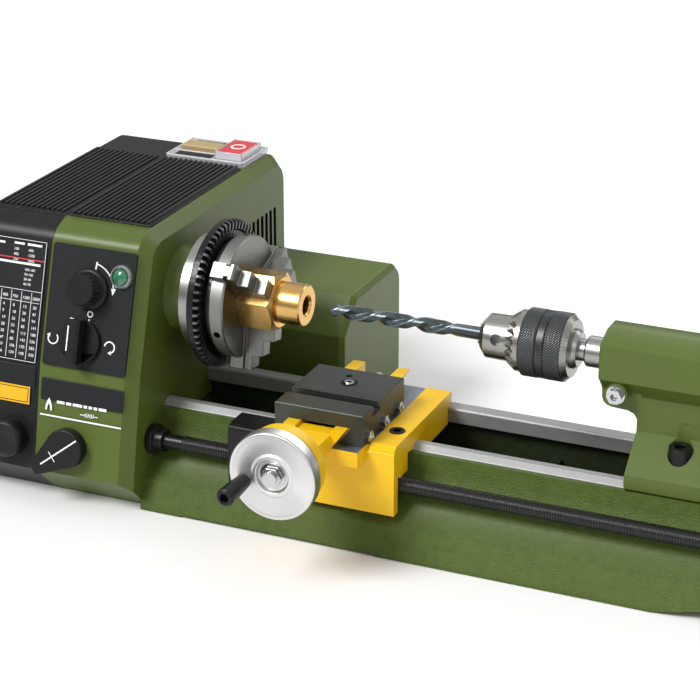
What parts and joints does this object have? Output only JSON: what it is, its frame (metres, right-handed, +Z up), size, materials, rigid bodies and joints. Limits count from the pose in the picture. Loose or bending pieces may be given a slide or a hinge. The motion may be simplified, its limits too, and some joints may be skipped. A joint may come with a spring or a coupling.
{
  "type": "bench metal lathe",
  "caption": "Small bench metal lathe: headstock with jaw chuck, carriage with cross slide on ground ways, tailstock with drill chuck, lead screw and hand wheels.",
  "frame": {"origin": "centre of the four bench bolt holes, on the plane the bed stands on", "axes": "+X along the bed from headstock to tailstock, +Y from the operator to the back, +Z up"},
  "size_m": [0.5765, 0.3113, 0.1731],
  "materials": {
    "green": "satin",
    "green_rough": "hammered satin",
    "black": "satin",
    "panel": "matt",
    "label": "printed",
    "chart": "printed",
    "clear": "clear over beige",
    "red": "gloss",
    "beige": "gloss",
    "lamp": "bright ring with green lens",
    "steel": "ground",
    "steel_dark": "blackened",
    "ring": "blackened teeth",
    "brass": "turned",
    "yellow": "gloss",
    "aluminium": "turned",
    "iron": "machined and blackened",
    "belt": "matt",
    "bronze": "machined",
    "drill": "blued",
    "chrome": "bright",
    "motor": "satin"
  },
  "bodies": {
    "base": {"bed_casting": "green_rough", "bed_ways": "steel", "headstock_housing": "green", "top_ribs": "black", "control_panel": "panel", "shift_label": "label", "indicator_lamp": "lamp", "switch_plate": "clear", "motor_housing": "green", "cable_inlet": "black", "motor_body": "motor", "drive_belt": "belt", "spindle_bearings": "chrome", "leadscrew_bracket": "green"},
    "gear_cover": {"gear_cover": "black", "chart_plates": "chart"},
    "cover_knob": {"cover_knob": "black"},
    "spindle": {"spindle": "steel", "spindle_pulley": "aluminium", "chuck_flange": "steel", "chuck_body": "steel", "workpiece": "brass"},
    "scroll_ring": {"scroll_ring": "ring"},
    "jaw_1": {"chuck_jaw_1": "steel"},
    "jaw_2": {"chuck_jaw_2": "steel"},
    "jaw_3": {"chuck_jaw_3": "steel"},
    "motor_rotor": {"motor_rotor": "steel"},
    "speed_knob": {"speed_knob": "black"},
    "direction_switch": {"direction_switch": "black"},
    "shift_lever": {"shift_lever": "black"},
    "on_button": {"on_button": "beige"},
    "off_button": {"off_button": "red"},
    "leadscrew": {"leadscrew": "steel_dark", "leadscrew_wheel": "aluminium"},
    "leadscrew_grip": {"leadscrew_grip": "black"},
    "carriage": {"saddle": "yellow", "saddle_screw": "steel_dark", "saddle_keeper": "steel_dark", "half_nut_housing": "black"},
    "cross_slide": {"cross_slide": "iron", "dovetail_gib": "bronze", "gib_screws": "chrome", "slide_lock_screw": "chrome", "cross_nut": "bronze"},
    "cross_screw": {"cross_screw": "steel", "cross_wheel": "aluminium", "wheel_nut": "chrome"},
    "cross_grip": {"cross_grip": "black"},
    "tailstock": {"tailstock_body": "green", "base_screw": "steel_dark", "clamp_plate": "steel_dark"},
    "quill_lock": {"quill_lock": "chrome"},
    "quill": {"quill": "steel", "drill_chuck": "steel", "chuck_pins": "steel", "drill_bit": "drill"},
    "chuck_sleeve": {"chuck_sleeve": "steel_dark"},
    "tail_screw": {"quill_screw": "steel", "tail_wheel": "aluminium"},
    "tail_grip": {"tail_grip": "black"}
  },
  "joints": [
    {"name": "spindle_spin", "type": "hinge", "parent": "base", "child": "spindle", "pos_m": [-0.1, 0, 0.1215], "axis": [1, 0, 0], "continuous": true},
    {"name": "motor_spin", "type": "hinge", "parent": "base", "child": "motor_rotor", "pos_m": [-0.1, 0.104, 0.052], "axis": [1, 0, 0], "continuous": true},
    {"name": "scroll_turn", "type": "hinge", "parent": "spindle", "child": "scroll_ring", "pos_m": [-0.055, 0, 0.1215], "axis": [1, 0, 0], "range_deg": [0, 720]},
    {"name": "jaw_1_slide", "type": "slide", "parent": "spindle", "child": "jaw_1", "axis": [0, -0.766, 0.6428], "range_m": [0, 0.01]},
    {"name": "jaw_2_slide", "type": "slide", "parent": "spindle", "child": "jaw_2", "axis": [0, 0.9397, 0.342], "range_m": [0, 0.01]},
    {"name": "jaw_3_slide", "type": "slide", "parent": "spindle", "child": "jaw_3", "axis": [0, -0.1736, -0.9848], "range_m": [0, 0.01]},
    {"name": "gear_cover_pull", "type": "slide", "parent": "base", "child": "gear_cover", "axis": [-1, 0, 0], "range_m": [0, 0.07]},
    {"name": "cover_knob_turn", "type": "hinge", "parent": "gear_cover", "child": "cover_knob", "pos_m": [-0.1645, -0.07349, 0.03795], "axis": [0, -0.9799, 0.1994], "range_deg": [-90, 90]},
    {"name": "speed_knob_turn", "type": "hinge", "parent": "base", "child": "speed_knob", "pos_m": [-0.118, -0.05121, 0.13199], "axis": [0, -0.9564, 0.2919], "range_deg": [-130, 130]},
    {"name": "direction_switch_turn", "type": "hinge", "parent": "base", "child": "direction_switch", "pos_m": [-0.1205, -0.06032, 0.10213], "axis": [0, -0.9564, 0.2919], "range_deg": [-60, 60]},
    {"name": "shift_lever_turn", "type": "hinge", "parent": "base", "child": "shift_lever", "pos_m": [-0.124, -0.07349, 0.03795], "axis": [0, -0.9799, 0.1994], "range_deg": [-45, 45]},
    {"name": "on_button_press", "type": "slide", "parent": "base", "child": "on_button", "axis": [0, 0, -1], "range_m": [0, 0.0018], "stiffness_N_per_m": 500},
    {"name": "off_button_press", "type": "slide", "parent": "base", "child": "off_button", "axis": [0, 0, -1], "range_m": [0, 0.0018], "stiffness_N_per_m": 500},
    {"name": "leadscrew_turn", "type": "hinge", "parent": "base", "child": "leadscrew", "pos_m": [0.1, -0.0468, 0.0405], "axis": [1, 0, 0], "range_deg": [-4801, 24001]},
    {"name": "leadscrew_grip_spin", "type": "hinge", "parent": "leadscrew", "child": "leadscrew_grip", "pos_m": [0.36, -0.0643, 0.0405], "axis": [1, 0, 0], "continuous": true},
    {"name": "carriage_slide", "type": "slide", "parent": "base", "child": "carriage", "axis": [1, 0, 0], "range_m": [-0.02, 0.1]},
    {"name": "cross_screw_turn", "type": "hinge", "parent": "carriage", "child": "cross_screw", "pos_m": [0.0339, -0.08, 0.0702], "axis": [0, 1, 0], "range_deg": [-1801, 8641]},
    {"name": "cross_slide_travel", "type": "slide", "parent": "carriage", "child": "cross_slide", "axis": [0, 1, 0], "range_m": [-0.005, 0.024]},
    {"name": "cross_grip_spin", "type": "hinge", "parent": "cross_screw", "child": "cross_grip", "pos_m": [0.01716, -0.13, 0.06508], "axis": [0, 1, 0], "continuous": true},
    {"name": "tailstock_slide", "type": "slide", "parent": "base", "child": "tailstock", "axis": [1, 0, 0], "range_m": [-0.01, 0.045]},
    {"name": "quill_lock_turn", "type": "hinge", "parent": "tailstock", "child": "quill_lock", "pos_m": [0.1965, -0.02, 0.1065], "axis": [0, 1, 0], "range_deg": [0, 90]},
    {"name": "quill_screw_turn", "type": "hinge", "parent": "tailstock", "child": "tail_screw", "pos_m": [0.28, 0, 0.1215], "axis": [1, 0, 0], "range_deg": [-8401, 0]},
    {"name": "quill_travel", "type": "slide", "parent": "tailstock", "child": "quill", "axis": [-1, 0, 0], "range_m": [0, 0.035]},
    {"name": "tail_grip_spin", "type": "hinge", "parent": "tail_screw", "child": "tail_grip", "pos_m": [0.31, 0, 0.139], "axis": [1, 0, 0], "continuous": true},
    {"name": "drill_chuck_sleeve_turn", "type": "hinge", "parent": "quill", "child": "chuck_sleeve", "pos_m": [0.15, 0, 0.1215], "axis": [1, 0, 0], "continuous": true}
  ],
  "couplings": [
    {"joint": "motor_spin", "follows": "spindle_spin", "ratio": 2.5385},
    {"joint": "jaw_1_slide", "follows": "scroll_turn", "m_per_rad": 0.0007957},
    {"joint": "jaw_2_slide", "follows": "scroll_turn", "m_per_rad": 0.0007957},
    {"joint": "jaw_3_slide", "follows": "scroll_turn", "m_per_rad": 0.0007957},
    {"joint": "leadscrew_turn", "follows": "carriage_slide", "rad_per_m": 4188.8},
    {"joint": "cross_screw_turn", "follows": "cross_slide_travel", "rad_per_m": 6283.2},
    {"joint": "quill_screw_turn", "follows": "quill_travel", "rad_per_m": -4188.8}
  ]
}
